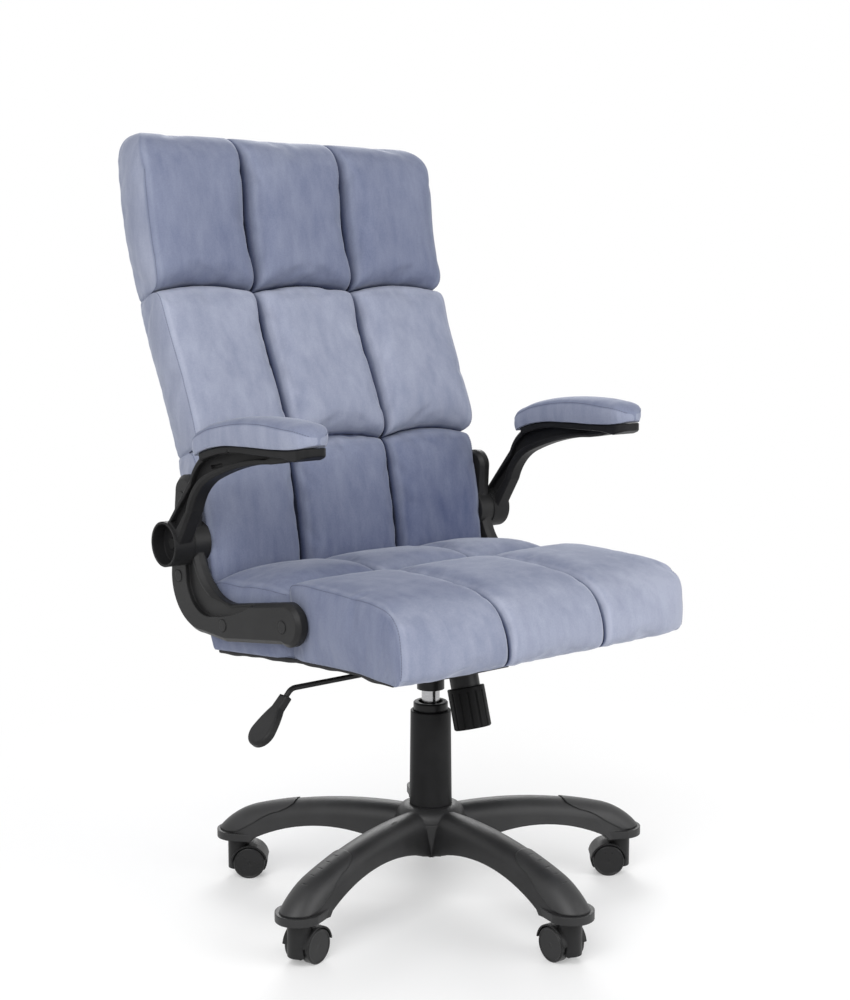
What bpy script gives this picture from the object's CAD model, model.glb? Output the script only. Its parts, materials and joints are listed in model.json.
"""Looks of an office chair: velvet cushions, stitched seams, plastic and steel round the packed frame.

Cushions and pads are drawn in millimetres; stitches, spring, finishes and studio are in metres.
"""
import json
import math
from collections import namedtuple

import bpy
import numpy as np
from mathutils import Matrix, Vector


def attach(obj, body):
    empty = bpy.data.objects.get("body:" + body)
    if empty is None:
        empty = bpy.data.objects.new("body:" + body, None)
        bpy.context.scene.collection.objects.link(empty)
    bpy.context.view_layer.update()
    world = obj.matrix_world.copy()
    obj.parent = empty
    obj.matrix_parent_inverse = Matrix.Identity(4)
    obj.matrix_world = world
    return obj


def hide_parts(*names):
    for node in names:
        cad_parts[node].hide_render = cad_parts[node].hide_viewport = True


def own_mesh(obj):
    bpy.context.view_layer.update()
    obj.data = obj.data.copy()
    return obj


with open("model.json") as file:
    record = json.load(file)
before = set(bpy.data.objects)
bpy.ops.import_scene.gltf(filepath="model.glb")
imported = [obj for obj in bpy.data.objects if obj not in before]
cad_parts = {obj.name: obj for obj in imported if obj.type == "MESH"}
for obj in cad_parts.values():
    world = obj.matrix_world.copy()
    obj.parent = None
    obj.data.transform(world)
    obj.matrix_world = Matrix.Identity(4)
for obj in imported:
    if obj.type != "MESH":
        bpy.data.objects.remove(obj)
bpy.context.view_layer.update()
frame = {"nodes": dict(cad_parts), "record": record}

bl_info = {
    "name": "Office chair looks",
    "version": (1, 0, 0),
    "blender": (4, 5, 0),
    "location": "3D View > Sidebar > Chair",
    "description": "Velvet cushions, seams, plastic, steel and a studio for an office chair",
    "category": "Object",
}

MM = 0.001
PREFIX = "chair_"


# Settings


class ChairVelvet(bpy.types.PropertyGroup):
    """Colours and pile of the upholstery."""

    pile: bpy.props.FloatVectorProperty(
        name="Pile", description="Velvet with the nap lying evenly",
        subtype="COLOR", size=3, min=0, max=1, default=(0.208, 0.231, 0.315))
    brushed: bpy.props.FloatVectorProperty(
        name="Brushed pile", description="Velvet where the nap is brushed up and looks paler",
        subtype="COLOR", size=3, min=0, max=1, default=(0.345, 0.368, 0.460))
    shade: bpy.props.FloatVectorProperty(
        name="Shaded pile", description="Velvet where the nap lies towards the eye",
        subtype="COLOR", size=3, min=0, max=1, default=(0.083, 0.100, 0.180))
    crease: bpy.props.FloatVectorProperty(
        name="Crease", description="Velvet pressed together in a sewn channel",
        subtype="COLOR", size=3, min=0, max=1, default=(0.022, 0.026, 0.044))
    thread: bpy.props.FloatVectorProperty(
        name="Thread", description="Stitching thread",
        subtype="COLOR", size=3, min=0, max=1, default=(0.085, 0.096, 0.145))
    sheen: bpy.props.FloatProperty(
        name="Sheen", description="Strength of the pile's pale rim",
        subtype="FACTOR", min=0, max=1, default=0.38)


class ChairPlastic(bpy.types.PropertyGroup):
    """Colours of the black mouldings and painted steel."""

    moulding: bpy.props.FloatVectorProperty(
        name="Moulding", description="Grained black plastic",
        subtype="COLOR", size=3, min=0, max=1, default=(0.013, 0.013, 0.0135))
    paint: bpy.props.FloatVectorProperty(
        name="Paint", description="Black powder coat on steel",
        subtype="COLOR", size=3, min=0, max=1, default=(0.009, 0.009, 0.0095))


class ChairCushion(bpy.types.PropertyGroup):
    """Filling of the cushions."""

    swell: bpy.props.FloatProperty(
        name="Swell", description="Air pressure that fills the blocks between their seams",
        subtype="UNSIGNED", min=0, max=20, default=4.0)
    cap: bpy.props.FloatProperty(
        name="Swell cap", description="Furthest that the filling moves the cloth",
        subtype="DISTANCE", unit="LENGTH", min=0, max=0.05, default=0.010)


class ChairStudio(bpy.types.PropertyGroup):
    """Floor, light and camera."""

    floor: bpy.props.FloatVectorProperty(
        name="Floor", description="Pale studio floor",
        subtype="COLOR", size=3, min=0, max=1, default=(0.94, 0.94, 0.94))
    lens: bpy.props.FloatProperty(
        name="Lens", description="Focal length for a 36 mm tall frame",
        unit="CAMERA", min=10, max=200, default=59.55)


SETTINGS = {
    "chair_velvet": ChairVelvet,
    "chair_plastic": ChairPlastic,
    "chair_cushion": ChairCushion,
    "chair_studio": ChairStudio,
}


# Small helpers

# weights of the crowded and the even steps in eased shares
CROWDED, EVEN = 0.7, 0.3
WELD = 0.00002
SMOOTH_ANGLE = math.radians(40)


def curve_through(*knots):
    """A smooth function through (place, value) knots, steady beyond the ends."""
    places = np.array([knot[0] for knot in knots], float)
    values = np.array([knot[1] for knot in knots], float)
    slopes = np.gradient(values, places)

    def value(place):
        place = min(max(place, places[0]), places[-1])
        left = int(np.clip(np.searchsorted(places, place) - 1, 0, len(places) - 2))
        span = places[left + 1] - places[left]
        part = (place - places[left]) / span
        rest = 1 - part
        leaving = values[left] * rest * rest * (1 + 2 * part) + slopes[left] * span * part * rest * rest
        return float(leaving + values[left + 1] * part * part * (3 - 2 * part)
                     - slopes[left + 1] * span * part * part * rest)

    return value


def path_through(points):
    """A smooth path through points in Y and Z, as a function of the share of its length, 0 to 1."""
    points = np.array(points, float)
    runs = np.concatenate([[0], np.cumsum(np.hypot(*np.diff(points, axis=0).T))])
    shares = runs / runs[-1]
    along = curve_through(*zip(shares, points[:, 0]))
    up = curve_through(*zip(shares, points[:, 1]))
    return lambda share: np.array([along(share), up(share)])


def pillow(place, power=14.0):
    """Height of a stuffed block across its width: 1 over the middle, 0 at a seam at either end."""
    return math.sqrt(max(0.0, 1 - abs(place) ** power))


def eased(count):
    """Shares from 0 to 1 that crowd towards both ends."""
    return [(1 - math.cos(math.pi * step / count)) / 2 * CROWDED + step / count * EVEN
            for step in range(count + 1)]


def deselect():
    if bpy.context.object and bpy.context.object.mode != "OBJECT":
        bpy.ops.object.mode_set(mode="OBJECT")
    bpy.ops.object.select_all(action="DESELECT")


def activate(piece):
    deselect()
    piece.select_set(True)
    bpy.context.view_layer.objects.active = piece


def edit_all(piece):
    """Enter edit mode with all of one piece selected."""
    activate(piece)
    bpy.ops.object.mode_set(mode="EDIT")
    bpy.ops.mesh.select_all(action="SELECT")


def new_piece(name, points, faces):
    """A mesh object at the origin with its place in its points."""
    mesh = bpy.data.meshes.new(name)
    mesh.from_pydata([tuple(point) for point in points], [], faces)
    mesh.update()
    piece = bpy.data.objects.new(name, mesh)
    bpy.context.collection.objects.link(piece)
    return piece


def skin(name, loops):
    """A closed skin through loops of points; each end loop is closed across, first half to last half."""
    size = len(loops[0])
    points = [point for loop in loops for point in loop]
    faces = []
    for row in range(len(loops) - 1):
        low, high = row * size, (row + 1) * size
        for place in range(size):
            after = (place + 1) % size
            faces.append((low + place, low + after, high + after, high + place))
    for row, turn in ((0, False), (len(loops) - 1, True)):
        start = row * size
        for place in range(size // 2 - 1):
            quad = (start + place, start + size - 1 - place, start + size - 2 - place, start + place + 1)
            faces.append(quad[::-1] if turn else quad)
    piece = new_piece(name, points, faces)
    edit_all(piece)
    bpy.ops.mesh.remove_doubles(threshold=WELD)
    bpy.ops.mesh.normals_make_consistent(inside=False)
    bpy.ops.object.mode_set(mode="OBJECT")
    return piece


def mark(piece, name, values):
    """Store one number per point of a piece."""
    field = piece.data.attributes.new(name, "FLOAT", "POINT")
    field.data.foreach_set("value", np.asarray(values, np.float32))


def points_of(piece):
    spots = np.empty(3 * len(piece.data.vertices))
    piece.data.vertices.foreach_get("co", spots)
    return spots.reshape(-1, 3)


def apply_modifier(piece, kind, **options):
    """Add a modifier and make its result the mesh."""
    activate(piece)
    modifier = piece.modifiers.new(kind.title(), kind)
    for option, value in options.items():
        setattr(modifier, option, value)
    bpy.ops.object.modifier_apply(modifier=modifier.name)


def soften(piece, finish):
    """Round a soft piece's mesh off and give it its finish."""
    apply_modifier(piece, "SUBSURF", levels=1, render_levels=1)
    bpy.ops.object.shade_smooth()
    piece.data.materials.append(finish_named(finish))


# Finishes

PATCH_SCALE = (7, 7, 4.5)
STREAK_SCALE = (46, 46, 13)
STREAK_SHARE = 0.35
NAP_SHARE = 0.5
SPECKLE_SHARE = 0.09
FIBRE_SHARE = 0.6
CLOUD_SCALE = 14
SCUFF_GAIN, SCUFF_LIFT = 1.6, 0.004
GLOSS_SPREAD = 0.08
EDGE_ROUNDING = 0.003
MARK_SHADE = 0.82
MARK_DULL, MARK_BRIGHT = 1.4, 0.7
GRAIN_SCALE = (120, 9, 120)
PLY_DARK, PLY_PALE = (0.36, 0.24, 0.13), (0.58, 0.43, 0.27)
MATT_GAIN = 1.7
WHITE = (1, 1, 1, 1)
# colour setting and its share, roughness, grains in a metre, their depth and the specular level
Plastic = namedtuple("Plastic", "setting tint rough grain depth shine")
PLASTICS = {
    "moulding": Plastic("moulding", 0.8, rough=0.42, grain=1900, depth=0.00025, shine=0.19),
    "base": Plastic("moulding", 1.15, rough=0.44, grain=1900, depth=0.00025, shine=0.33),
    "tread": Plastic("moulding", 1.2, rough=0.46, grain=1100, depth=0.0003, shine=0.40),
    "nylon": Plastic("moulding", 0.7, rough=0.28, grain=2600, depth=0.00008, shine=0.30),
    "paint": Plastic("paint", 1.0, rough=0.34, grain=1500, depth=0.00012, shine=0.20),
    "cover": Plastic("paint", 1.0, rough=0.46, grain=1700, depth=0.0002, shine=0.12),
    "knob": Plastic("paint", 0.5, rough=0.42, grain=1700, depth=0.0002, shine=0.08),
}
SLOT_FINISHES = {
    "moulded_black": "moulding",
    "tread_black": "tread",
    "cover_black": "cover",
    "cap_black": "moulding",
    "wheel_nylon": "nylon",
    "hood_nylon": "moulding",
    "bush_plastic": "nylon",
    "pipe_black": "paint",
    "pressed_black": "paint",
    "rod_black": "paint",
    "plated_steel": "plated",
    "spring_steel": "plated",
    "chrome": "chrome",
    "ply": "ply",
    "velvet": "velvet",
    "dust_cloth": "dust_cloth",
}
NODE_FINISHES = {
    "star_base": "base",
    "arm_pivot_left": "knob",
    "arm_pivot_right": "knob",
    "tension_knob": "knob",
    "arm_left": "cover",
    "arm_right": "cover",
}


def feed(tree, socket, value):
    """Link a socket to another one, or set it to a plain value."""
    if isinstance(value, bpy.types.NodeSocket):
        tree.links.new(value, socket)
    else:
        socket.default_value = value


def plug(tree, node, **inputs):
    """Feed a node's inputs by name."""
    for name, value in inputs.items():
        feed(tree, node.inputs[name.replace("_", " ")], value)


def add(tree, kind, **inputs):
    """Add a shader node and feed its inputs."""
    node = tree.nodes.new(kind)
    plug(tree, node, **inputs)
    return node


def blank(name):
    """A new material's tree, shader and Object coordinates."""
    material = bpy.data.materials.new(PREFIX + name)
    material.use_nodes = True
    tree = material.node_tree
    return tree, tree.nodes["Principled BSDF"], add(tree, "ShaderNodeTexCoord").outputs["Object"]


def finish_named(name):
    return bpy.data.materials[PREFIX + name]


def rgba(colour):
    return (*colour, 1.0)


def tinted(colour, share):
    return [channel * share for channel in colour]


def ramp(tree, source, *stops):
    """Colours spread over a number."""
    node = add(tree, "ShaderNodeValToRGB", Fac=source)
    elements = node.color_ramp.elements
    while len(elements) < len(stops):
        elements.new(0.5)
    for element, (place, colour) in zip(elements, stops):
        element.position = place
        element.color = rgba(colour)
    return node.outputs["Color"]


def spread(tree, source, low, high):
    """A number from 0 to 1 spread between two values."""
    node = add(tree, "ShaderNodeMapRange", Value=source, To_Min=low, To_Max=high)
    return node.outputs["Result"]


def noise(tree, coords, scale, detail, rough):
    node = add(tree, "ShaderNodeTexNoise", Vector=coords, Scale=scale, Detail=detail, Roughness=rough)
    return node.outputs["Fac"]


def stretched(tree, coords, scale):
    return add(tree, "ShaderNodeMapping", Vector=coords, Scale=scale).outputs["Vector"]


def calculate(tree, operation, *values):
    """A number worked out from others."""
    node = add(tree, "ShaderNodeMath")
    node.operation = operation
    for socket, value in zip(node.inputs, values):
        feed(tree, socket, value)
    return node.outputs["Value"]


def bump(tree, shader, height, depth, strength, rounding=0.0):
    """Fine relief on a surface, with its edges rounded off where a radius is given."""
    node = add(tree, "ShaderNodeBump", Height=height, Distance=depth, Strength=strength)
    if rounding:
        plug(tree, node, Normal=add(tree, "ShaderNodeBevel", Radius=rounding).outputs["Normal"])
    plug(tree, shader, Normal=node.outputs["Normal"])


def velvet_finish(settings):
    """Short pile: patches of brushed nap, a fine fibre bump and a soft sheen."""
    tree, shader, coords = blank("velvet")
    nap = add(tree, "ShaderNodeAttribute")
    nap.attribute_name = "nap"
    patches = noise(tree, stretched(tree, coords, PATCH_SCALE), scale=1.0, detail=4.0, rough=0.6)
    streaks = noise(tree, stretched(tree, coords, STREAK_SCALE), scale=1.0, detail=3.0, rough=0.6)
    speckle = noise(tree, coords, scale=460, detail=2.0, rough=0.7)
    fibre = noise(tree, coords, scale=1400, detail=2.0, rough=0.6)
    lay = calculate(tree, "MULTIPLY_ADD", streaks, STREAK_SHARE, spread(tree, patches, low=0.34, high=0.66))
    lay = calculate(tree, "MULTIPLY_ADD", nap.outputs["Fac"], NAP_SHARE, lay)
    lay = calculate(tree, "MULTIPLY_ADD", spread(tree, speckle, low=-1.0, high=1.0), SPECKLE_SHARE, lay)
    colour = ramp(tree, lay, (0.05, settings.crease), (0.28, settings.shade), (0.68, settings.pile),
                  (1.0, settings.brushed))
    plug(tree, shader, Base_Color=colour, Roughness=spread(tree, lay, low=0.92, high=0.72),
         Specular_IOR_Level=0.12, Sheen_Weight=settings.sheen, Sheen_Roughness=0.35,
         Sheen_Tint=(0.86, 0.90, 1.0, 1.0))
    relief = calculate(tree, "MULTIPLY_ADD", fibre, FIBRE_SHARE, streaks)
    bump(tree, shader, relief, depth=0.0006, strength=0.35)


def plastic_finish(name, colour, plastic):
    """Moulded plastic or coat: fine grain, uneven gloss and paler scuffs."""
    tree, shader, coords = blank(name)
    cloud = noise(tree, coords, scale=CLOUD_SCALE, detail=4.0, rough=0.6)
    grains = noise(tree, coords, scale=plastic.grain, detail=2.0, rough=0.5)
    scuffed = [min(1.0, channel * SCUFF_GAIN + SCUFF_LIFT) for channel in colour]
    gloss = spread(tree, cloud, low=plastic.rough - GLOSS_SPREAD, high=plastic.rough + GLOSS_SPREAD)
    plug(tree, shader, Base_Color=ramp(tree, cloud, (0.3, colour), (0.8, scuffed)), Roughness=gloss,
         Specular_IOR_Level=plastic.shine)
    bump(tree, shader, grains, depth=plastic.depth, strength=0.5, rounding=EDGE_ROUNDING)


def metal_finish(name, colour, rough, brush):
    """Bare or plated metal with fine turning marks."""
    tree, shader, coords = blank(name)
    marks = noise(tree, stretched(tree, coords, brush), scale=1.0, detail=3.0, rough=0.6)
    plug(tree, shader, Base_Color=ramp(tree, marks, (0.3, tinted(colour, MARK_SHADE)), (0.7, colour)),
         Roughness=spread(tree, marks, low=rough * MARK_BRIGHT, high=rough * MARK_DULL), Metallic=1.0)
    bump(tree, shader, marks, depth=0.00005, strength=0.4)


def wood_finish():
    """Bare plywood with long grain."""
    tree, shader, coords = blank("ply")
    grain = noise(tree, stretched(tree, coords, GRAIN_SCALE), scale=1.0, detail=4.0, rough=0.6)
    plug(tree, shader, Base_Color=ramp(tree, grain, (0.3, PLY_DARK), (0.75, PLY_PALE)),
         Roughness=spread(tree, grain, low=0.55, high=0.75))
    bump(tree, shader, grain, depth=0.0002, strength=0.5)


def cloth_finish(name, colour, scale):
    """Non-woven or thread cloth with a matted fibre."""
    tree, shader, coords = blank(name)
    fibre = noise(tree, coords, scale=scale, detail=3.0, rough=0.7)
    plug(tree, shader, Base_Color=ramp(tree, fibre, (0.3, colour), (0.8, tinted(colour, MATT_GAIN))),
         Roughness=spread(tree, fibre, low=0.8, high=0.95))
    bump(tree, shader, fibre, depth=0.0003, strength=0.6)


class CHAIR_OT_finishes(bpy.types.Operator):
    """Make the finishes and put them on the frame's pieces"""

    bl_idname = "chair.finishes"
    bl_label = "Finishes"

    def execute(self, context):
        velvet = context.scene.chair_velvet
        velvet_finish(velvet)
        for name, plastic in PLASTICS.items():
            colour = getattr(context.scene.chair_plastic, plastic.setting)
            plastic_finish(name, tinted(colour, plastic.tint), plastic)
        metal_finish("chrome", colour=(0.46, 0.46, 0.47), rough=0.20, brush=(90, 90, 900))
        metal_finish("plated", colour=(0.50, 0.50, 0.48), rough=0.34, brush=(400, 400, 400))
        wood_finish()
        cloth_finish("dust_cloth", colour=(0.012, 0.012, 0.013), scale=700)
        cloth_finish("thread", colour=velvet.thread, scale=2500)
        slots = {row["node"]: row["material_slot"] for row in frame["record"]["subparts"]}
        for name, node in frame["nodes"].items():
            node.data.materials.clear()
            finish = NODE_FINISHES.get(name, SLOT_FINISHES[slots[name]])
            node.data.materials.append(finish_named(finish))
        return {"FINISHED"}


# Soft pieces

COLUMN_STEPS = 24
SIDE_STEPS = 14
SIM_FRAMES = 20
SIM_QUALITY = 4
CUSHION_FILL, CUSHION_SLACK = 0.85, 0.015
SHOULDER_POWER = 2.6
# a hold is how firmly a point is sewn, 0 to 1; a nap is the lie of the pile, which looks paler as it rises
BOXING_HOLD = 0.35
CREASE_NAP = -1.3
RIM_NAP = 0.30
RIM_PLACE, RIM_REACH = 0.94, 0.07
NO_MOVE = 1e-9
STITCH_LENGTH = 0.0026
STITCH_PITCH = 0.0038
STITCH_RADIUS = 0.00055
STITCH_SIDES = 6


def quilt_places(half, column, strip):
    """Places across a quilted face, from -X to +X: how far across, the column, the place in it and the hold.

    The place in a column runs from -1 to 1. The middle of a sewn strip between two columns has no column.
    """
    edges = (-half, -column, column, half)
    places = []
    for number in range(3):
        first = edges[number] + (strip if number > 0 else 0)
        last = edges[number + 1] - (strip if number < 2 else 0)
        for share in eased(COLUMN_STEPS):
            boxing = (number, share) in ((0, 0), (2, 1))
            hold = BOXING_HOLD if boxing else float(share in (0, 1))
            places.append((first + share * (last - first), number, 2 * share - 1, hold))
        if number < 2:
            places.append((last + strip, None, 0.0, 1.0))
    return places


def places_below(top_count, wall_steps):
    """The rest of a loop, below its top, as sides and shares.

    Side 1 goes down its wall from 0 to 1, side 0 across the underside from 1 to -1, and side -1 back up.
    """
    for step in range(1, wall_steps + 1):
        yield 1, step / wall_steps
    for step in range(1, top_count - 1):
        yield 0, 1 - 2 * step / (top_count - 1)
    for step in range(wall_steps, 0, -1):
        yield -1, step / wall_steps


def block_surface(column, place, channel, crown, seam):
    """A block's surface across its width: from a channel over the crown, or to the seam at a boxed side."""
    outward = -place if column == 0 else place
    if column is None:
        return channel
    if column == 1 or outward < 0:
        return channel + (crown - channel) * pillow(place)
    return seam + (crown - seam) * (1 - outward ** SHOULDER_POWER)


def rim(place):
    """How near a place across a block is to its rounded edges, where the nap stands up."""
    return max(0.0, 1 - abs(abs(place) - RIM_PLACE) / RIM_REACH)


class SoftForm:
    """Loops of points round a soft piece, with the lie of the nap and the hold of the seams at each."""

    def __init__(self):
        self.loops, self.naps, self.holds = [], [], []
        self.across = 0

    def start(self, across):
        """Begin a loop that has so many points across its top."""
        self.loops.append([])
        self.across = across

    def put(self, across, along, up, nap, hold):
        self.loops[-1].append((across * MM, along * MM, up * MM))
        self.naps.append(nap)
        self.holds.append(hold)

    def seam(self, place, first, last):
        """Numbers of the points at one place of a range of loops."""
        size = len(self.loops[0])
        return [row * size + place for row in range(len(self.loops))[first:last]]


def fill(piece, holds, cushion, slack):
    """Fill a soft piece: cloth blown out between the seams that hold it, no further than the cap."""
    before = points_of(piece)
    seams = piece.vertex_groups.new(name="seams")
    for number, hold in enumerate(holds):
        if hold > 0:
            seams.add([number], hold, "REPLACE")
    activate(piece)
    cloth = piece.modifiers.new("Filling", "CLOTH")
    cloth.settings.vertex_group_mass = seams.name
    cloth.settings.use_pressure = True
    cloth.settings.uniform_pressure_force = cushion.swell
    cloth.settings.shrink_min = -slack
    cloth.settings.effector_weights.gravity = 0
    cloth.settings.quality = SIM_QUALITY
    cloth.collision_settings.use_collision = False
    cloth.point_cache.frame_start = 1
    cloth.point_cache.frame_end = SIM_FRAMES
    for number in range(1, SIM_FRAMES + 1):
        bpy.context.scene.frame_set(number)
    bpy.ops.object.modifier_apply(modifier=cloth.name)
    bpy.context.scene.frame_set(1)
    moved = points_of(piece) - before
    reach = np.linalg.norm(moved, axis=1)
    share = cushion.cap * np.tanh(reach / cushion.cap) / np.maximum(reach, NO_MOVE)
    piece.data.vertices.foreach_set("co", (before + moved * share[:, None]).ravel())
    piece.data.update()
    piece.vertex_groups.clear()


def soft_piece(name, form, context, body, node, slack=0.0):
    """A filled and finished soft piece from its loops."""
    piece = skin(name, form.loops)
    if len(piece.data.vertices) != len(form.naps):
        raise RuntimeError(f"{name}: loops share points")
    mark(piece, "nap", form.naps)
    fill(piece, form.holds, context.scene.chair_cushion, slack)
    soften(piece, "velvet")
    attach(piece, body)
    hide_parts(node)
    return piece


def stitch_seam(name, piece, numbers, body):
    """A row of stitches along points of a soft piece."""
    spots = points_of(piece)[numbers]
    curve = bpy.data.curves.new(name, "CURVE")
    curve.dimensions = "3D"
    spline = curve.splines.new("POLY")
    spline.points.add(len(spots) - 1)
    spline.points.foreach_set("co", np.column_stack([spots, np.ones(len(spots))]).ravel())
    path = bpy.data.objects.new(name + "_path", curve)
    bpy.context.collection.objects.link(path)
    deselect()
    bpy.ops.mesh.primitive_cylinder_add(vertices=STITCH_SIDES, radius=STITCH_RADIUS, depth=STITCH_LENGTH)
    stitches = bpy.context.object
    stitches.name = name
    edit_all(stitches)
    bpy.ops.transform.rotate(value=math.pi / 2, orient_axis="Y", center_override=(0, 0, 0))
    bpy.ops.transform.translate(value=(STITCH_LENGTH / 2, 0, 0))
    bpy.ops.object.mode_set(mode="OBJECT")
    apply_modifier(stitches, "ARRAY", fit_type="FIT_CURVE", curve=path, use_relative_offset=False,
                   use_constant_offset=True, constant_offset_displace=(STITCH_PITCH, 0, 0))
    apply_modifier(stitches, "CURVE", object=path, deform_axis="POS_X")
    bpy.data.objects.remove(path)
    activate(stitches)
    bpy.ops.object.shade_smooth_by_angle(angle=SMOOTH_ANGLE)
    stitches.data.materials.append(finish_named("thread"))
    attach(stitches, body)


# Back cushion and panel

BACK_REAR = ((250, 455), (256.5, 507), (263, 560), (277, 626), (296, 693), (328, 772), (363, 850),
             (388, 925), (408, 1000), (421, 1095), (430, 1190))
REAR_SAMPLES = 600
REAR_TANGENT = 4
# start and end along the rear line, thicknesses, nap at the foot and the top, nap of the three columns
BackRow = namedtuple("BackRow", "start end crown seam channel floor nap lean")
BACK_ROWS = (
    BackRow(0, 225, crown=76, seam=72, channel=51, floor=46, nap=(-0.50, -0.12), lean=(0.10, 0.0, -0.13)),
    BackRow(225, 479, crown=90, seam=88, channel=57, floor=50, nap=(0.22, 0.30), lean=(0.04, 0.0, 0.0)),
    BackRow(479, 745, crown=97, seam=91, channel=61, floor=50, nap=(-0.28, -0.14),
            lean=(-0.03, 0.05, -0.05)),
)
BACK_TOP = BACK_ROWS[-1].end
BACK_STEPS = 38
BACK_HALF = curve_through((0, 272), (225, 277), (479, 283), (745, 285))
BACK_TAPER = curve_through((0, 5), (225, 9), (400, 11), (520, 8), (640, 3), (745, 2))
BACK_COLUMN = 97
BACK_STRIP = 2.2
BACK_BASE = 8
BACK_PULL = 5
BACK_PUFF = 4
BACK_SIDE_NAP = 0.30
ROW_POWER = 15.0
TOP_POWER = 4.0
TOP_DROP, TOP_DROP_POWER = 30, 3
TOP_ROUND, TOP_ROUND_PULL = 46, 0.8
ROW_ARCH = 11
ARCH_REACH = 70
# loops between which a seam is stitched
BACK_STITCHES = (3, -12)
PANEL_STEPS = 60
PANEL_FOOT, PANEL_TOP = 4, BACK_TOP - 6
PANEL_INSET, PANEL_ROUND = 5, 8
PANEL_EDGE, PANEL_FRONT = 9, 10
PANEL_PUFF = 2
PANEL_END_POWER, PANEL_SIDE_POWER = 24, 30


class RearLine:
    """The back's rear line as places along its length."""

    def __init__(self, points):
        rise = curve_through(*[(up, along) for along, up in points])
        self.heights = np.linspace(points[0][1], points[-1][1], REAR_SAMPLES)
        self.depths = np.array([rise(height) for height in self.heights])
        steps = np.hypot(np.diff(self.depths), np.diff(self.heights))
        self.runs = np.concatenate([[0], np.cumsum(steps)])

    def spot(self, distance):
        """The point at a distance, in Y and Z."""
        return np.array([np.interp(distance, self.runs, self.depths),
                         np.interp(distance, self.runs, self.heights)])

    def in_front(self, distance, thick):
        """The point at a distance, brought forward square to the line."""
        way = self.spot(distance + REAR_TANGENT) - self.spot(distance - REAR_TANGENT)
        way = way / np.hypot(*way)
        return self.spot(distance) + np.array([-way[1], way[0]]) * thick


REAR_LINE = RearLine(BACK_REAR)


def back_half(distance):
    """Half the back's width, drawn in at its top corners."""
    over = max(0.0, 1 - (BACK_TOP - distance) / TOP_ROUND)
    return BACK_HALF(distance) - TOP_ROUND_PULL * TOP_ROUND * (1 - math.sqrt(max(0.0, 1 - over * over)))


def row_arch(distance):
    """How far the blocks' ends rise in their middles near a row channel."""
    reach = min(abs(distance - row.end) for row in BACK_ROWS[:-1])
    return ROW_ARCH * max(0.0, 1 - reach / ARCH_REACH) ** 2


def back_loop(form, row, share):
    """Add the loop at a share of a row's height to the back."""
    distance = row.start + share * (row.end - row.start)
    place = 2 * share - 1
    rounding = row is BACK_ROWS[-1] and place > 0
    fullness = pillow(place, TOP_POWER if rounding else ROW_POWER)
    floor = row.floor - (TOP_DROP if rounding else 0) * max(0.0, place) ** TOP_DROP_POWER
    seam = floor + (row.seam - floor) * fullness
    half = back_half(distance) - BACK_PULL * (1 - fullness)
    taper = BACK_TAPER(distance)
    row_nap = row.nap[0] + (row.nap[1] - row.nap[0]) * share * share
    held = 1.0 if share in (0, 1) else 0.0

    def put(across, thick, nap, hold, arch=0.0):
        spot = REAR_LINE.in_front(min(distance + arch, BACK_TOP), thick)
        form.put(across, *spot, nap, max(hold, held))

    places = quilt_places(half, BACK_COLUMN, BACK_STRIP)
    form.start(len(places))
    for across, column, local, hold in places:
        surface = block_surface(column, local, row.channel, row.crown, row.seam)
        if hold == 1 or held:
            nap = CREASE_NAP
        else:
            nap = row_nap + row.lean[column] + RIM_NAP * max(rim(local), rim(max(0, place)))
        arch = 0.0 if column is None else row_arch(distance) * (1 - local * local)
        put(across, floor + (surface - floor) * fullness, nap, hold, arch)
    for side, part in places_below(len(places), SIDE_STEPS):
        if side == 0:
            put((half - taper) * part, BACK_BASE, 0.0, 1.0)
        else:
            puff = BACK_PUFF * math.sin(math.pi * part) * fullness
            put(side * (half + puff - taper * part), seam + (BACK_BASE - seam) * part,
                BACK_SIDE_NAP * fullness, float(part == 1))


def back_form():
    """Loops round the back cushion from its foot to its top; two rows share the loop between them."""
    form = SoftForm()
    for number, row in enumerate(BACK_ROWS):
        for share in eased(BACK_STEPS)[min(number, 1):]:
            back_loop(form, row, share)
    return form


def panel_form():
    """Loops round the rear panel from its foot to its top."""
    form = SoftForm()
    parts = [2 * step / PANEL_STEPS - 1 for step in range(PANEL_STEPS + 1)]
    for share in eased(PANEL_STEPS):
        distance = PANEL_FOOT + share * (PANEL_TOP - PANEL_FOOT)
        edge = pillow(2 * share - 1, PANEL_END_POWER)
        half = back_half(distance) - BACK_TAPER(distance) - PANEL_INSET - PANEL_ROUND * (1 - edge)
        form.start(len(parts))
        for part in parts:
            puff = (PANEL_EDGE + PANEL_PUFF * (1 - part * part)) * pillow(part, PANEL_SIDE_POWER) * edge
            held = 1.0 if abs(part) == 1 or share in (0, 1) else 0.0
            form.put(part * half, *REAR_LINE.in_front(distance, PANEL_EDGE - puff), 0.0, held)
        for part in reversed(parts):
            form.put(part * half, *REAR_LINE.in_front(distance, PANEL_FRONT), 0.0, 1.0)
    return form


class CHAIR_OT_back_cushion(bpy.types.Operator):
    """Make the back cushion: three rows of three stuffed blocks with stitched boxed sides"""

    bl_idname = "chair.back_cushion"
    bl_label = "Back cushion"

    def execute(self, context):
        form = back_form()
        piece = soft_piece("back_cushion_velvet", form, context, body="seat", node="back_cushion",
                           slack=CUSHION_SLACK)
        for word, place in (("right", 0), ("left", form.across - 1)):
            stitch_seam(f"back_stitches_{word}", piece, form.seam(place, *BACK_STITCHES), "seat")
        return {"FINISHED"}


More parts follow.
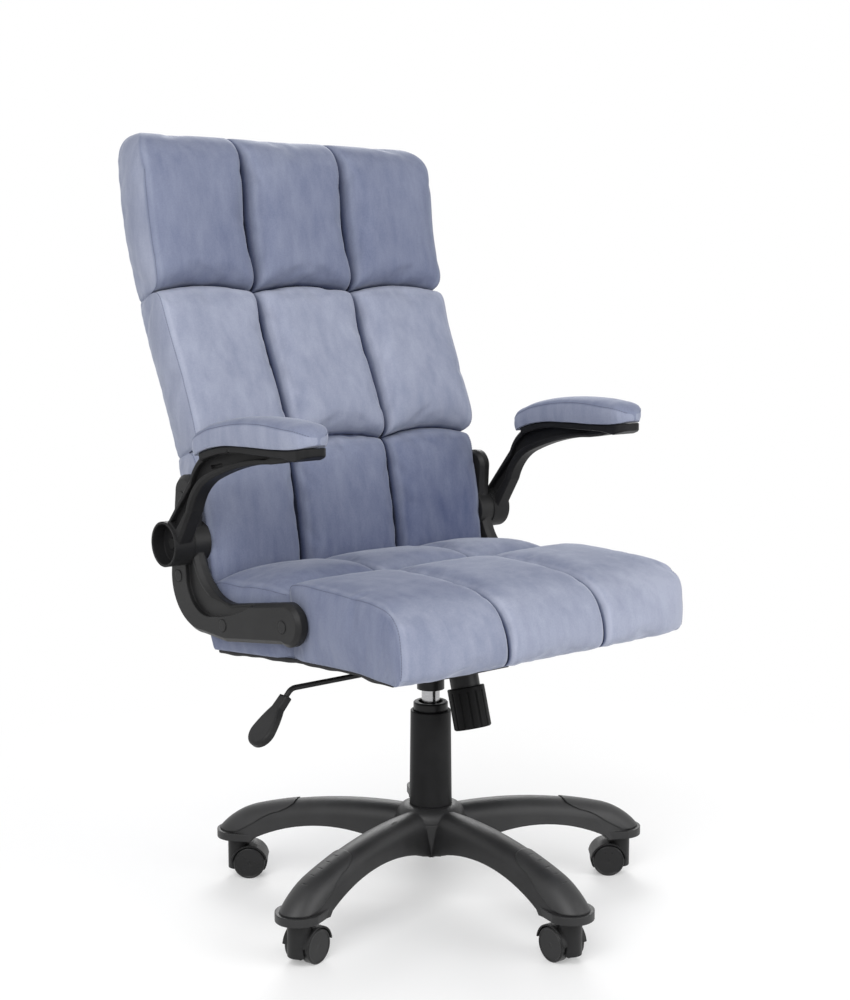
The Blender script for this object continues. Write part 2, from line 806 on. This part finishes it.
class CHAIR_OT_back_panel(bpy.types.Operator):
    """Make the upholstered panel that closes the rear of the back"""

    bl_idname = "chair.back_panel"
    bl_label = "Back panel"

    def execute(self, context):
        soft_piece("back_panel_velvet", panel_form(), context, body="seat", node="back_panel")
        return {"FINISHED"}


# Seat cushion and the cloth edge below it

SEAT_HALF = 275
SEAT_COLUMN = 94
SEAT_STRIP = 2.0
# lines in Y and Z along the boxing seam, the blocks' crowns, the column channels and the foot of the sides
SeatRow = namedtuple("SeatRow", "seam crown channel foot steps nap")
REAR_ROW = SeatRow(
    seam=((192, 470), (180, 494), (104, 507), (28, 511), (-3, 508)),
    crown=((196, 486), (176, 510), (102, 525), (30, 529), (8, 524), (-3, 508)),
    channel=((194, 482), (174, 502), (102, 512), (30, 515), (-3, 507)),
    foot=((186, 397), (90, 406), (-8, 415)),
    steps=30,
    nap=-0.14,
)
FRONT_ROW = SeatRow(
    seam=((-3, 508), (-12, 521), (-40, 528), (-90, 529), (-157, 528), (-210, 525), (-240, 517), (-255, 502),
          (-261, 474), (-262, 448), (-260, 434), (-254, 425), (-244, 421)),
    crown=((-3, 508), (-12, 521), (-40, 529), (-100, 531), (-180, 528), (-230, 520), (-257, 505),
           (-274, 477), (-279, 450), (-277, 435), (-268, 425), (-252, 421)),
    channel=((-3, 507), (-12, 514), (-40, 519), (-100, 520), (-180, 516), (-226, 506), (-250, 488),
             (-264, 462), (-268, 446), (-267, 433), (-260, 425), (-248, 421)),
    foot=((-8, 415), (-107, 421), (-164, 423), (-207, 421), (-232, 421), (-244, 421)),
    steps=70,
    nap=-0.16,
)
SEAT_STITCHES = {"rear": (3, REAR_ROW.steps - 1), "front": (REAR_ROW.steps + 4, -8)}
SEAT_NOTCH, NOTCH_POWER = 9, 14
SEAT_TAPER = 5
SEAT_PUFF = 3
SEAT_CLOSE = 60
SEAT_LEAN = (-0.20, 0.04, 0.16)
SEAT_SIDE_NAP = -0.24
NOSE_NAP = 0.34
NOSE_START, NOSE_SPAN = 0.56, 0.12
GATHER_DEPTH, GATHER_PITCH, GATHER_SLANT = 1.5, 15, 0.5
GATHER_MIDDLE, GATHER_LENGTH, GATHER_WIDTH = 50, 75, 70
GATHER_SWAY, SWAY_PITCH = 1.3, 19
DUST_FOOT = curve_through((-238, 421), (-207, 421), (-164, 423), (-107, 421), (-8, 415), (90, 406),
                          (182, 397))
DUST_FRONT, DUST_LENGTH = -236, 414
DUST_STEPS = 70
DUST_INSET, DUST_THICK = 6.5, 5
DUST_RISE, DUST_HANG = 3, 4.5
DUST_SWAY, DUST_SWAY_PITCH = 0.7, 11
DUST_WAVE = 0.9
# share, pitch and start of each wave along the edge
DUST_WAVES = ((1.0, 17, 0), (0.6, 7.3, 2))


def wrinkle(across, along):
    """Diagonal gathers beside the rear row's side seam."""
    beside = max(0.0, 1 - (SEAT_HALF - abs(across)) / GATHER_WIDTH)
    reach = beside * max(0.0, 1 - abs(along - GATHER_MIDDLE) / GATHER_LENGTH)
    turn = 2 * math.pi * (along + GATHER_SLANT * abs(across)) / GATHER_PITCH
    return GATHER_DEPTH * reach * math.sin(turn + GATHER_SWAY * math.sin(along / SWAY_PITCH))


def seat_loop(form, row, share, seam, crown, channel, foot):
    """Add the loop at a share of a row's length to the seat, through its four points in Y and Z."""
    front = row is FRONT_ROW
    nearness = (1 - share if front else share) ** NOTCH_POWER
    half = SEAT_HALF - SEAT_NOTCH * nearness
    nose = max(0.0, min(1.0, (share - NOSE_START) / NOSE_SPAN)) if front else 0.0
    held = 1.0 if share in (0, 1) else 0.0

    def put(across, spot, nap, hold):
        form.put(across, *spot, nap, max(hold, held))

    places = quilt_places(half, SEAT_COLUMN, SEAT_STRIP)
    form.start(len(places))
    for across, column, local, hold in places:
        spot = block_surface(column, local, channel, crown, seam)
        if not front:
            spot = spot + np.array([0, wrinkle(across, spot[0])])
        if hold == 1:
            nap = CREASE_NAP
        else:
            nap = row.nap + (NOSE_NAP - row.nap) * nose + SEAT_LEAN[column] + RIM_NAP * rim(local)
        put(across, spot, nap, hold)
    side_puff = SEAT_PUFF * (1 - nearness) * min(1.0, np.hypot(*(seam - foot)) / SEAT_CLOSE)
    for side, part in places_below(len(places), SIDE_STEPS):
        if side == 0:
            put((half - SEAT_TAPER) * part, foot, 0.0, 1.0)
        else:
            out = half + side_puff * math.sin(math.pi * part) - SEAT_TAPER * part
            put(side * out, seam + (foot - seam) * part, SEAT_SIDE_NAP, float(part == 1))


def seat_form():
    """Loops round the seat cushion from its rear over the top and down the front."""
    form = SoftForm()
    for row in (REAR_ROW, FRONT_ROW):
        paths = [path_through(line) for line in (row.seam, row.crown, row.channel, row.foot)]
        for share in eased(row.steps)[1 if row is FRONT_ROW else 0:]:
            seat_loop(form, row, share, *[path(share) for path in paths])
    return form


def dust_ring(along):
    """The four corners of the dust cloth's turned edge, which waves a little, in X and Z."""
    wave = sum(share * math.sin(along / pitch + start) for share, pitch, start in DUST_WAVES)
    top = DUST_FOOT(along) + DUST_RISE
    bottom = DUST_FOOT(along) - DUST_HANG - DUST_WAVE * wave
    outer = SEAT_HALF - DUST_INSET + DUST_SWAY * math.sin(along / DUST_SWAY_PITCH)
    inner = outer - DUST_THICK
    return (inner, top), (outer, top), (outer, bottom), (inner, bottom)


class CHAIR_OT_seat_cushion(bpy.types.Operator):
    """Make the seat cushion: two rows of three stuffed blocks that roll over the front edge"""

    bl_idname = "chair.seat_cushion"
    bl_label = "Seat cushion"

    def execute(self, context):
        form = seat_form()
        piece = soft_piece("seat_cushion_velvet", form, context, body="seat", node="seat_cushion",
                           slack=CUSHION_SLACK)
        for word, place in (("right", 0), ("left", form.across - 1)):
            for row, loops in SEAT_STITCHES.items():
                stitch_seam(f"seat_stitches_{word}_{row}", piece, form.seam(place, *loops), "seat")
        return {"FINISHED"}


class CHAIR_OT_dust_edge(bpy.types.Operator):
    """Make the turned edge of the dust cloth that shows below the seat's sides"""

    bl_idname = "chair.dust_edge"
    bl_label = "Dust cloth edge"

    def execute(self, context):
        for side, word in ((-1, "right"), (1, "left")):
            loops = []
            for step in range(DUST_STEPS + 1):
                along = DUST_FRONT + DUST_LENGTH * step / DUST_STEPS
                loops.append([(side * across * MM, along * MM, up * MM) for across, up in dust_ring(along)])
            piece = skin(f"dust_edge_{word}", loops)
            soften(piece, "dust_cloth")
            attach(piece, "seat")
        return {"FINISHED"}


# Arm pads

PAD_FOOT = curve_through((-131, 729.5), (-126, 728.6), (-98, 725), (-66, 723.4), (0, 722.4), (55, 719.4),
                         (112, 705.4), (128, 697), (138, 690))
PAD_SEAM = curve_through((-131, 744), (-118, 749), (-90, 752), (-40, 755.5), (10, 753), (50, 747), (96, 735),
                         (125, 719), (138, 704))
PAD_CROWN = curve_through((-131, 749), (-118, 757), (-90, 762), (-40, 764), (10, 762), (50, 757), (96, 745),
                          (125, 730), (138, 711))
PAD_HALF = curve_through((-131, 19), (-118, 27.5), (-90, 31.5), (-30, 32.5), (40, 32.5), (96, 31), (125, 27),
                         (138, 16))
PAD_FRONT, PAD_REAR = -131, 134
PAD_CENTRE = 320.5
PAD_TOE = math.radians(2.2)
PAD_HUB = 216
PAD_STEPS, PAD_ACROSS, PAD_WALL_STEPS = 56, 30, 10
PAD_TOP_POWER = 2.2
PAD_INSET, PAD_PUFF, PAD_TUCK = 1, 2, 3
PAD_HOLD = 0.5
PAD_STITCHES = (2, -2)
PAD_TOP_NAP, PAD_BAND_NAP = -0.08, 0.25
TIP_POWER, TIP_LEAST = 26, 0.12
FRONT_BLUNT, REAR_BLUNT = 0.75, 0.3
FOLD_DEPTH, FOLD_PITCH = 1.3, 8.5
FOLD_MIDDLE, FOLD_LENGTH = -108, 26
FOLD_TOP, FOLD_RUN = 0.25, 0.7


def band_fold(along, part):
    """Small upright folds low on a pad's band near its front."""
    down = math.sin(math.pi * min(1.0, FOLD_TOP + part * FOLD_RUN))
    reach = max(0.0, 1 - abs(along - FOLD_MIDDLE) / FOLD_LENGTH) * down
    return FOLD_DEPTH * reach * math.sin(2 * math.pi * along / FOLD_PITCH)


def pad_loop(form, side, share):
    """Add the loop at a share of a pad's length to the pad."""
    along = PAD_FRONT + share * (PAD_REAR - PAD_FRONT)
    tip = max(TIP_LEAST, pillow(2 * share - 1, TIP_POWER))
    blunt = max(tip, FRONT_BLUNT if along < 0 else REAR_BLUNT)
    heights = [line(along) for line in (PAD_FOOT, PAD_SEAM, PAD_CROWN)]
    middle = (heights[0] + heights[2]) / 2
    foot, seam, crown = (middle + (height - middle) * blunt for height in heights)
    half = PAD_HALF(along) * tip
    reach = along - PAD_HUB
    cos, sin = math.cos(PAD_TOE), math.sin(PAD_TOE)

    def put(inwards, up, nap, hold):
        across = side * (PAD_CENTRE - inwards * cos + reach * sin)
        form.put(across, PAD_HUB + reach * cos + inwards * sin, up, nap, 1.0 if share in (0, 1) else hold)

    form.start(PAD_ACROSS + 1)
    for step in range(PAD_ACROSS + 1):
        part = 2 * step / PAD_ACROSS - 1
        height = seam + (crown - seam) * pillow(part, PAD_TOP_POWER)
        put(part * (half - PAD_INSET * tip), height, PAD_TOP_NAP, PAD_HOLD if abs(part) == 1 else 0.0)
    for wall, part in places_below(PAD_ACROSS + 1, PAD_WALL_STEPS):
        if wall == 0:
            put((half - (PAD_INSET + PAD_TUCK) * tip) * part, foot, 0.0, 1.0)
        else:
            inset = PAD_INSET - PAD_PUFF * math.sin(math.pi * part) + PAD_TUCK * part
            out = half - tip * inset + band_fold(along, part)
            put(wall * out, seam + (foot - seam) * part, PAD_BAND_NAP, float(part == 1))


def pad_form(side):
    """Loops round one arm pad from its front tip to its rear."""
    form = SoftForm()
    for share in eased(PAD_STEPS):
        pad_loop(form, side, share)
    return form


class CHAIR_OT_arm_pads(bpy.types.Operator):
    """Make the stuffed pads on the arms"""

    bl_idname = "chair.arm_pads"
    bl_label = "Arm pads"

    def execute(self, context):
        for side, word, body in ((-1, "right", "arm_r"), (1, "left", "arm_l")):
            form = pad_form(side)
            piece = soft_piece(f"arm_pad_velvet_{word}", form, context, body=body, node=f"arm_pad_{word}")
            for edge, place in (("outer", 0), ("inner", form.across - 1)):
                stitch_seam(f"pad_stitches_{word}_{edge}", piece, form.seam(place, *PAD_STITCHES), body)
        return {"FINISHED"}


# Tension spring

SPRING_RADIUS = 0.013
SPRING_WIRE = 0.0024
SPRING_TURNS = 6
WIRE_SIDES, TURN_STEPS = 12, 40
SPRING_SLIP = 0.001


def reach_along(spots, middle, axis):
    """How far spots reach below and above a middle along an axis."""
    reaches = [(spot - middle).dot(axis) for spot in spots]
    return min(reaches), max(reaches)


def world_spots(piece):
    return [piece.matrix_world @ vertex.co for vertex in piece.data.vertices]


class CHAIR_OT_spring(bpy.types.Operator):
    """Make the tension spring that shortens as the seat tilts"""

    bl_idname = "chair.spring"
    bl_label = "Tension spring"

    def execute(self, context):
        joints = {row["name"]: row for row in frame["record"]["behaviour"]["joints"]}
        draw = joints["tension_draw"]
        axis = Vector(draw["axis"]).normalized()
        spots = world_spots(frame["nodes"]["tilt_spring"])
        middle = sum(spots, Vector()) / len(spots)
        low, high = reach_along(spots, middle, axis)
        length = high - low
        spring = self.coil(length - 2 * SPRING_WIRE)
        turn = Vector((0, 0, 1)).rotation_difference(axis).to_euler()
        edit_all(spring)
        bpy.ops.transform.rotate(value=-turn.x, orient_axis="X", center_override=(0, 0, 0))
        bpy.ops.transform.translate(value=middle + axis * (low + SPRING_WIRE))
        bpy.ops.object.mode_set(mode="OBJECT")
        bpy.ops.object.shade_smooth_by_angle(angle=SMOOTH_ANGLE)
        spring.data.materials.append(finish_named("plated"))
        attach(spring, "mechanism")
        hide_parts("tilt_spring")
        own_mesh(spring)
        made_low, made_high = reach_along(world_spots(spring), middle, axis)
        if max(abs(made_high - high), abs(made_low - low)) > SPRING_SLIP:
            raise RuntimeError("the spring is out of place")
        return {"FINISHED"}

    def coil(self, height):
        """A wire circle screwed up the Z axis from the origin, with closed ends."""
        deselect()
        bpy.ops.mesh.primitive_circle_add(vertices=WIRE_SIDES, radius=SPRING_WIRE)
        spring = bpy.context.object
        spring.name = "tension_spring"
        edit_all(spring)
        bpy.ops.transform.rotate(value=math.pi / 2, orient_axis="X", center_override=(0, 0, 0))
        bpy.ops.transform.translate(value=(SPRING_RADIUS, 0, 0))
        bpy.ops.object.mode_set(mode="OBJECT")
        apply_modifier(spring, "SCREW", axis="Z", steps=TURN_STEPS, render_steps=TURN_STEPS,
                       iterations=SPRING_TURNS, screw_offset=height / SPRING_TURNS)
        edit_all(spring)
        bpy.ops.mesh.fill_holes(sides=0)
        bpy.ops.mesh.normals_make_consistent(inside=False)
        bpy.ops.object.mode_set(mode="OBJECT")
        return spring


# Studio

FLOOR_SIZE = 14
FLOOR_ROUGH = 0.9
SHADOW_NEAR, SHADOW_FAR, SHADOW_FADE = 0.35, 1.3, 0.30
WORLD_LIGHT = 0.45
SENSOR_HEIGHT = 36
CAMERA_PLACE = (-1.6132, -1.8741, 0.94365)
CAMERA_TURN = -40.52
CAMERA_DROP = 7.45
Lamp = namedtuple("Lamp", "name place aim width power")
LAMPS = (
    Lamp("key", place=(-2.6, -1.6, 2.6), aim=(0, 0, 0.7), width=2.6, power=95),
    Lamp("front", place=(1.2, -3.2, 1.7), aim=(0, 0, 0.6), width=2.4, power=55),
    Lamp("rim", place=(1.8, 2.2, 2.2), aim=(0, 0, 0.8), width=1.8, power=60),
)


def seen_ray(tree):
    """1 for rays from the camera and for what shows in metal and glass."""
    rays = add(tree, "ShaderNodeLightPath").outputs
    seen = calculate(tree, "MAXIMUM", rays["Is Camera Ray"], rays["Is Glossy Ray"])
    return calculate(tree, "MAXIMUM", seen, rays["Is Transmission Ray"])


def mix_shaders(tree, share, first, second, output):
    """Send a shader between two others to a tree's output."""
    node = add(tree, "ShaderNodeMixShader", Fac=share)
    feed(tree, node.inputs[1], first)
    feed(tree, node.inputs[2], second)
    plug(tree, tree.nodes[output], Surface=node.outputs["Shader"])


def floor_finish(colour):
    """Pale floor that keeps the shadow near the chair and is plain white further off."""
    tree, shader, coords = blank("floor")
    plug(tree, shader, Base_Color=rgba(colour), Roughness=FLOOR_ROUGH)
    reach = add(tree, "ShaderNodeVectorMath", Vector=coords)
    reach.operation = "LENGTH"
    away = add(tree, "ShaderNodeMapRange", Value=reach.outputs["Value"], From_Min=SHADOW_NEAR,
               From_Max=SHADOW_FAR, To_Min=SHADOW_FADE, To_Max=1.0)
    share = calculate(tree, "MULTIPLY", away.outputs["Result"], seen_ray(tree))
    white = add(tree, "ShaderNodeEmission", Color=WHITE, Strength=1.0)
    mix_shaders(tree, share, shader.outputs["BSDF"], white.outputs["Emission"], "Material Output")


def light_world(scene):
    """A white surround to look at and a softer one to light by."""
    scene.world = bpy.data.worlds.new("studio")
    scene.world.use_nodes = True
    tree = scene.world.node_tree
    soft = tree.nodes["Background"]
    plug(tree, soft, Color=WHITE, Strength=WORLD_LIGHT)
    white = add(tree, "ShaderNodeBackground", Color=WHITE, Strength=1.0)
    mix_shaders(tree, seen_ray(tree), soft.outputs["Background"], white.outputs["Background"],
                "World Output")


class CHAIR_OT_studio(bpy.types.Operator):
    """Set up the pale floor, the soft lights and the camera"""

    bl_idname = "chair.studio"
    bl_label = "Studio"

    def execute(self, context):
        scene = context.scene
        settings = scene.chair_studio
        deselect()
        bpy.ops.mesh.primitive_plane_add(size=FLOOR_SIZE)
        floor = context.object
        floor.name = "floor"
        floor_finish(settings.floor)
        floor.data.materials.append(finish_named("floor"))
        light_world(scene)
        for lamp in LAMPS:
            self.hang(scene, lamp)
        data = bpy.data.cameras.new("camera")
        data.sensor_fit = "VERTICAL"
        data.sensor_height = SENSOR_HEIGHT
        data.lens = settings.lens
        camera = bpy.data.objects.new("camera", data)
        camera.location = CAMERA_PLACE
        camera.rotation_euler = (math.radians(90 - CAMERA_DROP), 0, math.radians(CAMERA_TURN))
        scene.collection.objects.link(camera)
        scene.camera = camera
        scene.view_settings.view_transform = "Standard"
        return {"FINISHED"}

    def hang(self, scene, lamp):
        """Hang a soft square lamp at its place and turn it to its aim."""
        data = bpy.data.lights.new(lamp.name, "AREA")
        data.size = lamp.width
        data.energy = lamp.power
        light = bpy.data.objects.new(lamp.name, data)
        light.location = lamp.place
        way = Vector(lamp.aim) - Vector(lamp.place)
        light.rotation_euler = way.to_track_quat("-Z", "Y").to_euler()
        scene.collection.objects.link(light)


# Panel and run


class CHAIR_PT_panel(bpy.types.Panel):
    """Settings and steps of the chair's looks"""

    bl_idname = "CHAIR_PT_panel"
    bl_label = "Chair"
    bl_space_type = "VIEW_3D"
    bl_region_type = "UI"
    bl_category = "Chair"

    def draw(self, context):
        for operator in OPERATORS:
            self.layout.operator(operator.bl_idname)
        for name, group in SETTINGS.items():
            box = self.layout.box()
            box.label(text=group.__doc__)
            for prop in group.__annotations__:
                box.prop(getattr(context.scene, name), prop)


OPERATORS = (
    CHAIR_OT_finishes,
    CHAIR_OT_back_cushion,
    CHAIR_OT_seat_cushion,
    CHAIR_OT_back_panel,
    CHAIR_OT_dust_edge,
    CHAIR_OT_arm_pads,
    CHAIR_OT_spring,
    CHAIR_OT_studio,
)


def register():
    for group in SETTINGS.values():
        bpy.utils.register_class(group)
    for kind in (*OPERATORS, CHAIR_PT_panel):
        bpy.utils.register_class(kind)
    for name, group in SETTINGS.items():
        setattr(bpy.types.Scene, name, bpy.props.PointerProperty(type=group))


def unregister():
    for name in SETTINGS:
        delattr(bpy.types.Scene, name)
    for kind in (CHAIR_PT_panel, *reversed(OPERATORS)):
        bpy.utils.unregister_class(kind)
    for group in reversed(SETTINGS.values()):
        bpy.utils.unregister_class(group)


def main():
    register()
    bpy.ops.chair.finishes()
    bpy.ops.chair.back_cushion()
    bpy.ops.chair.seat_cushion()
    bpy.ops.chair.back_panel()
    bpy.ops.chair.dust_edge()
    bpy.ops.chair.arm_pads()
    bpy.ops.chair.spring()
    bpy.ops.chair.studio()


if __name__ == "__main__":
    main()
